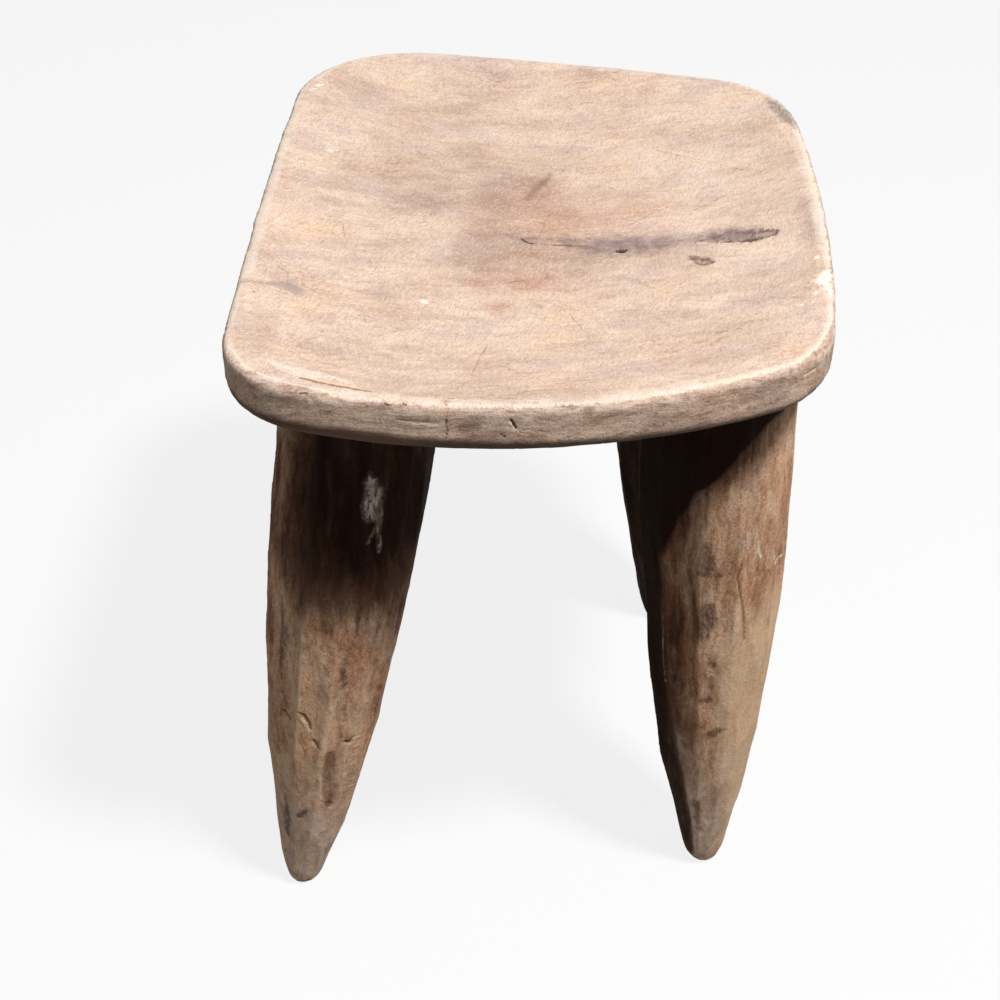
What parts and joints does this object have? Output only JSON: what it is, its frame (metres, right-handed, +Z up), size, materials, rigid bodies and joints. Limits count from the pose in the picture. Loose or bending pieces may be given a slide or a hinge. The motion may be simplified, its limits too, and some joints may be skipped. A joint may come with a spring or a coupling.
{
  "type": "stool",
  "caption": "Low carved wooden stool with a dished, saddle-shaped seat board and hewn tusk-shaped legs that splay out to small flat feet.",
  "frame": {"origin": "on the floor, under the middle of the stool's bounding box", "axes": "+Z up, from the feet to the seat; +X to the right of someone who faces the stool's front, across the seat's shorter way; +Y to the back"},
  "size_m": [0.3052, 0.3752, 0.3979],
  "materials": {
    "seat_wood": "worn, unvarnished",
    "leg_wood": "hewn, unvarnished"
  },
  "bodies": {
    "root": {"seat": "seat_wood", "leg_front_left": "leg_wood", "leg_front_right": "leg_wood", "leg_rear_right": "leg_wood", "leg_rear_left": "leg_wood"}
  },
  "joints": []
}
